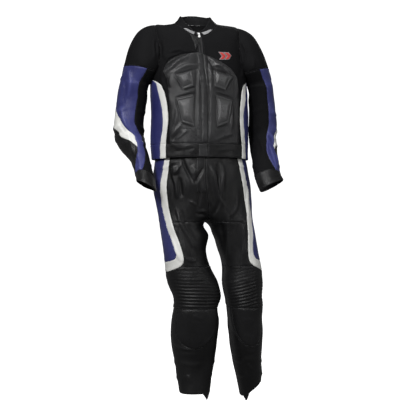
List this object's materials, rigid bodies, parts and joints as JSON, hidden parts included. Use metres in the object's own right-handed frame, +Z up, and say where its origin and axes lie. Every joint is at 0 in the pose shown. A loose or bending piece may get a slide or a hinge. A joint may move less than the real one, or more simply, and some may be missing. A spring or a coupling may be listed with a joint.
{
  "type": "motorcycle race suit",
  "caption": "Two-piece leather motorcycle suit in its worn form, hollow, with a zipped jacket, striped panels, ribbed stretch knees and open neck, cuffs and hems.",
  "frame": {"origin": "middle of the neck base, where the wearer's shoulders carry the suit", "axes": "+Z up, the front faces -Y, and +X is the wearer's left"},
  "size_m": [0.6622, 0.2731, 1.5611],
  "materials": {
    "black_leather": "semi-gloss",
    "matt_black_leather": "matt",
    "blue_leather": "semi-gloss",
    "white_leather": "semi-gloss",
    "red_badge": "matt",
    "grey_patch": "matt",
    "black_zip": "matt",
    "zip_metal": "satin",
    "pull_enamel": "gloss"
  },
  "bodies": {
    "suit": {"back_panel": "black_leather", "back_yoke": "blue_leather", "calf_L": "black_leather", "calf_R": "black_leather", "chest_badge": "red_badge", "chest_pad_lower_L": "black_leather", "chest_pad_lower_R": "black_leather", "chest_pad_upper_L": "black_leather", "chest_pad_upper_R": "black_leather", "collar": "matt_black_leather", "collar_patch_L": "grey_patch", "collar_patch_R": "grey_patch", "cuff_L": "black_leather", "cuff_R": "black_leather", "fly": "black_leather", "front_chest_L": "black_leather", "front_chest_R": "black_leather", "front_yoke_L": "matt_black_leather", "front_yoke_R": "matt_black_leather", "front_zip": "black_zip", "hem_back": "black_leather", "hem_front_L": "black_leather", "hem_front_R": "black_leather", "hem_side_L": "blue_leather", "hem_side_R": "blue_leather", "hem_stripe_L": "white_leather", "hem_stripe_R": "white_leather", "hem_tab": "black_leather", "knee_pad_L": "black_leather", "knee_pad_R": "black_leather", "knee_ribs_L": "matt_black_leather", "knee_ribs_R": "matt_black_leather", "leg_blue_L": "blue_leather", "leg_blue_R": "blue_leather", "leg_stripe_L": "white_leather", "leg_stripe_R": "white_leather", "neck_flap": "matt_black_leather", "shin_L": "black_leather", "shin_R": "black_leather", "shoulder_cap_L": "matt_black_leather", "shoulder_cap_R": "matt_black_leather", "side_panel_L": "blue_leather", "side_panel_R": "blue_leather", "side_stripe_L": "white_leather", "side_stripe_R": "white_leather", "sleeve_blue_L": "blue_leather", "sleeve_blue_R": "blue_leather", "sleeve_elbow_L": "black_leather", "sleeve_elbow_R": "black_leather", "sleeve_inner_L": "matt_black_leather", "sleeve_inner_R": "matt_black_leather", "sleeve_stripe_L": "white_leather", "sleeve_stripe_R": "white_leather", "thigh_back_L": "black_leather", "thigh_back_R": "black_leather", "thigh_front_L": "black_leather", "thigh_front_R": "black_leather", "zip_flap": "black_leather", "zip_slider": "zip_metal"},
    "pull": {"zip_pull": "pull_enamel"}
  },
  "joints": [
    {"name": "zip_pull_hinge", "type": "hinge", "parent": "suit", "child": "pull", "pos_m": [-0.01644, -0.07033, -0.04716], "axis": [-1, 0, 0], "range_deg": [0, 150]}
  ]
}
